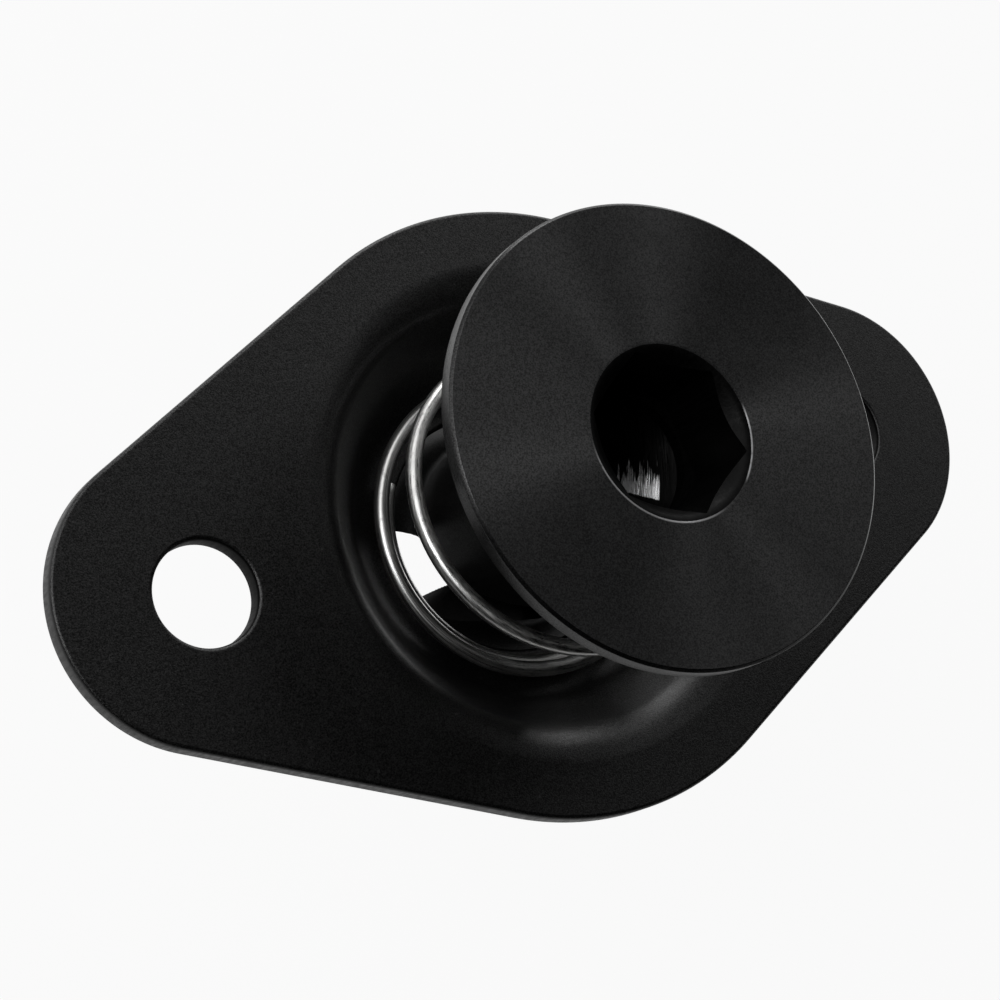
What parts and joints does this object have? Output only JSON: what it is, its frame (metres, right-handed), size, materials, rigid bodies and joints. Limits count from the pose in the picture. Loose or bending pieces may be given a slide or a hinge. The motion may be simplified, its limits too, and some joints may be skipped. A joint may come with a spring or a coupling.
{
  "type": "quarter turn panel fastener",
  "caption": "Self-ejecting quarter turn fastener: flat head stud with hex socket and cam slots, conical spring, dished oval plate with two fixing holes.",
  "frame": {"origin": "on the stud's axis, level with the open lower end of the stud's flared legs", "axes": "+X along the plate through both fixing holes, +Z along the stud's axis towards its head"},
  "size_m": [0.0598, 0.0358, 0.023],
  "materials": {
    "plate_black": "satin black coated steel sheet",
    "stud_black": "black anodised, fine turning marks",
    "spring_steel": "bright drawn wire"
  },
  "bodies": {
    "plate": {"mounting_plate": "plate_black"},
    "spring": {"ejector_spring": "spring_steel"},
    "stud": {"quarter_turn_stud": "stud_black"}
  },
  "joints": [
    {"name": "press", "type": "slide", "parent": "plate", "child": "spring", "axis": [0, 0, -1], "range_m": [0, 0.0133], "stiffness_N_per_m": 370, "springref_m": -0.006, "deforming": ["ejector_spring"]},
    {"name": "quarter_turn", "type": "hinge", "parent": "spring", "child": "stud", "pos_m": [0, 0, 0], "axis": [0, 0, -1], "range_deg": [0, 90]}
  ]
}
